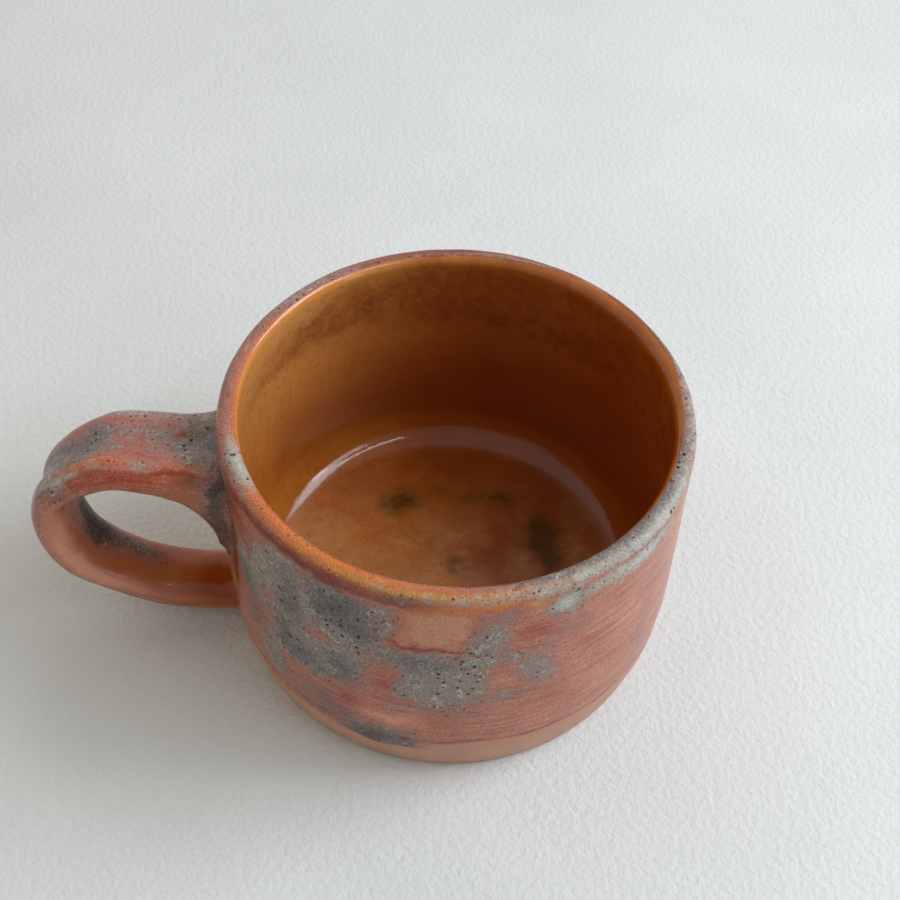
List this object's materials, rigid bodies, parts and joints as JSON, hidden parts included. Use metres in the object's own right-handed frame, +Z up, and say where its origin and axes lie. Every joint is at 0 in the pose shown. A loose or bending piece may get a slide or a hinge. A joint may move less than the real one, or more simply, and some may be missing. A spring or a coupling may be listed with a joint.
{
  "type": "mug",
  "caption": "Low hand-thrown stoneware mug with a pulled strap handle, amber liner glaze and a mottled rose and grey outer glaze above a bare foot.",
  "frame": {"origin": "centre of the flat base, on the cup's axis, where the mug stands on the table", "axes": "+Z up along the cup's axis, the handle points along -X, and +Y completes the right-handed frame"},
  "size_m": [0.1276, 0.0908, 0.059],
  "materials": {
    "stoneware": "bare fired clay, smooth and matt",
    "amber_glaze": "glossy honey amber",
    "rose_glaze": "satin rose with grey clouds and pinholes"
  },
  "bodies": {
    "root": {"cup_body": "stoneware", "liner_glaze": "amber_glaze", "outer_glaze": "rose_glaze", "handle_strap": "stoneware", "upper_collar": "rose_glaze", "lower_collar": "rose_glaze", "handle_glaze": "rose_glaze"}
  },
  "joints": []
}
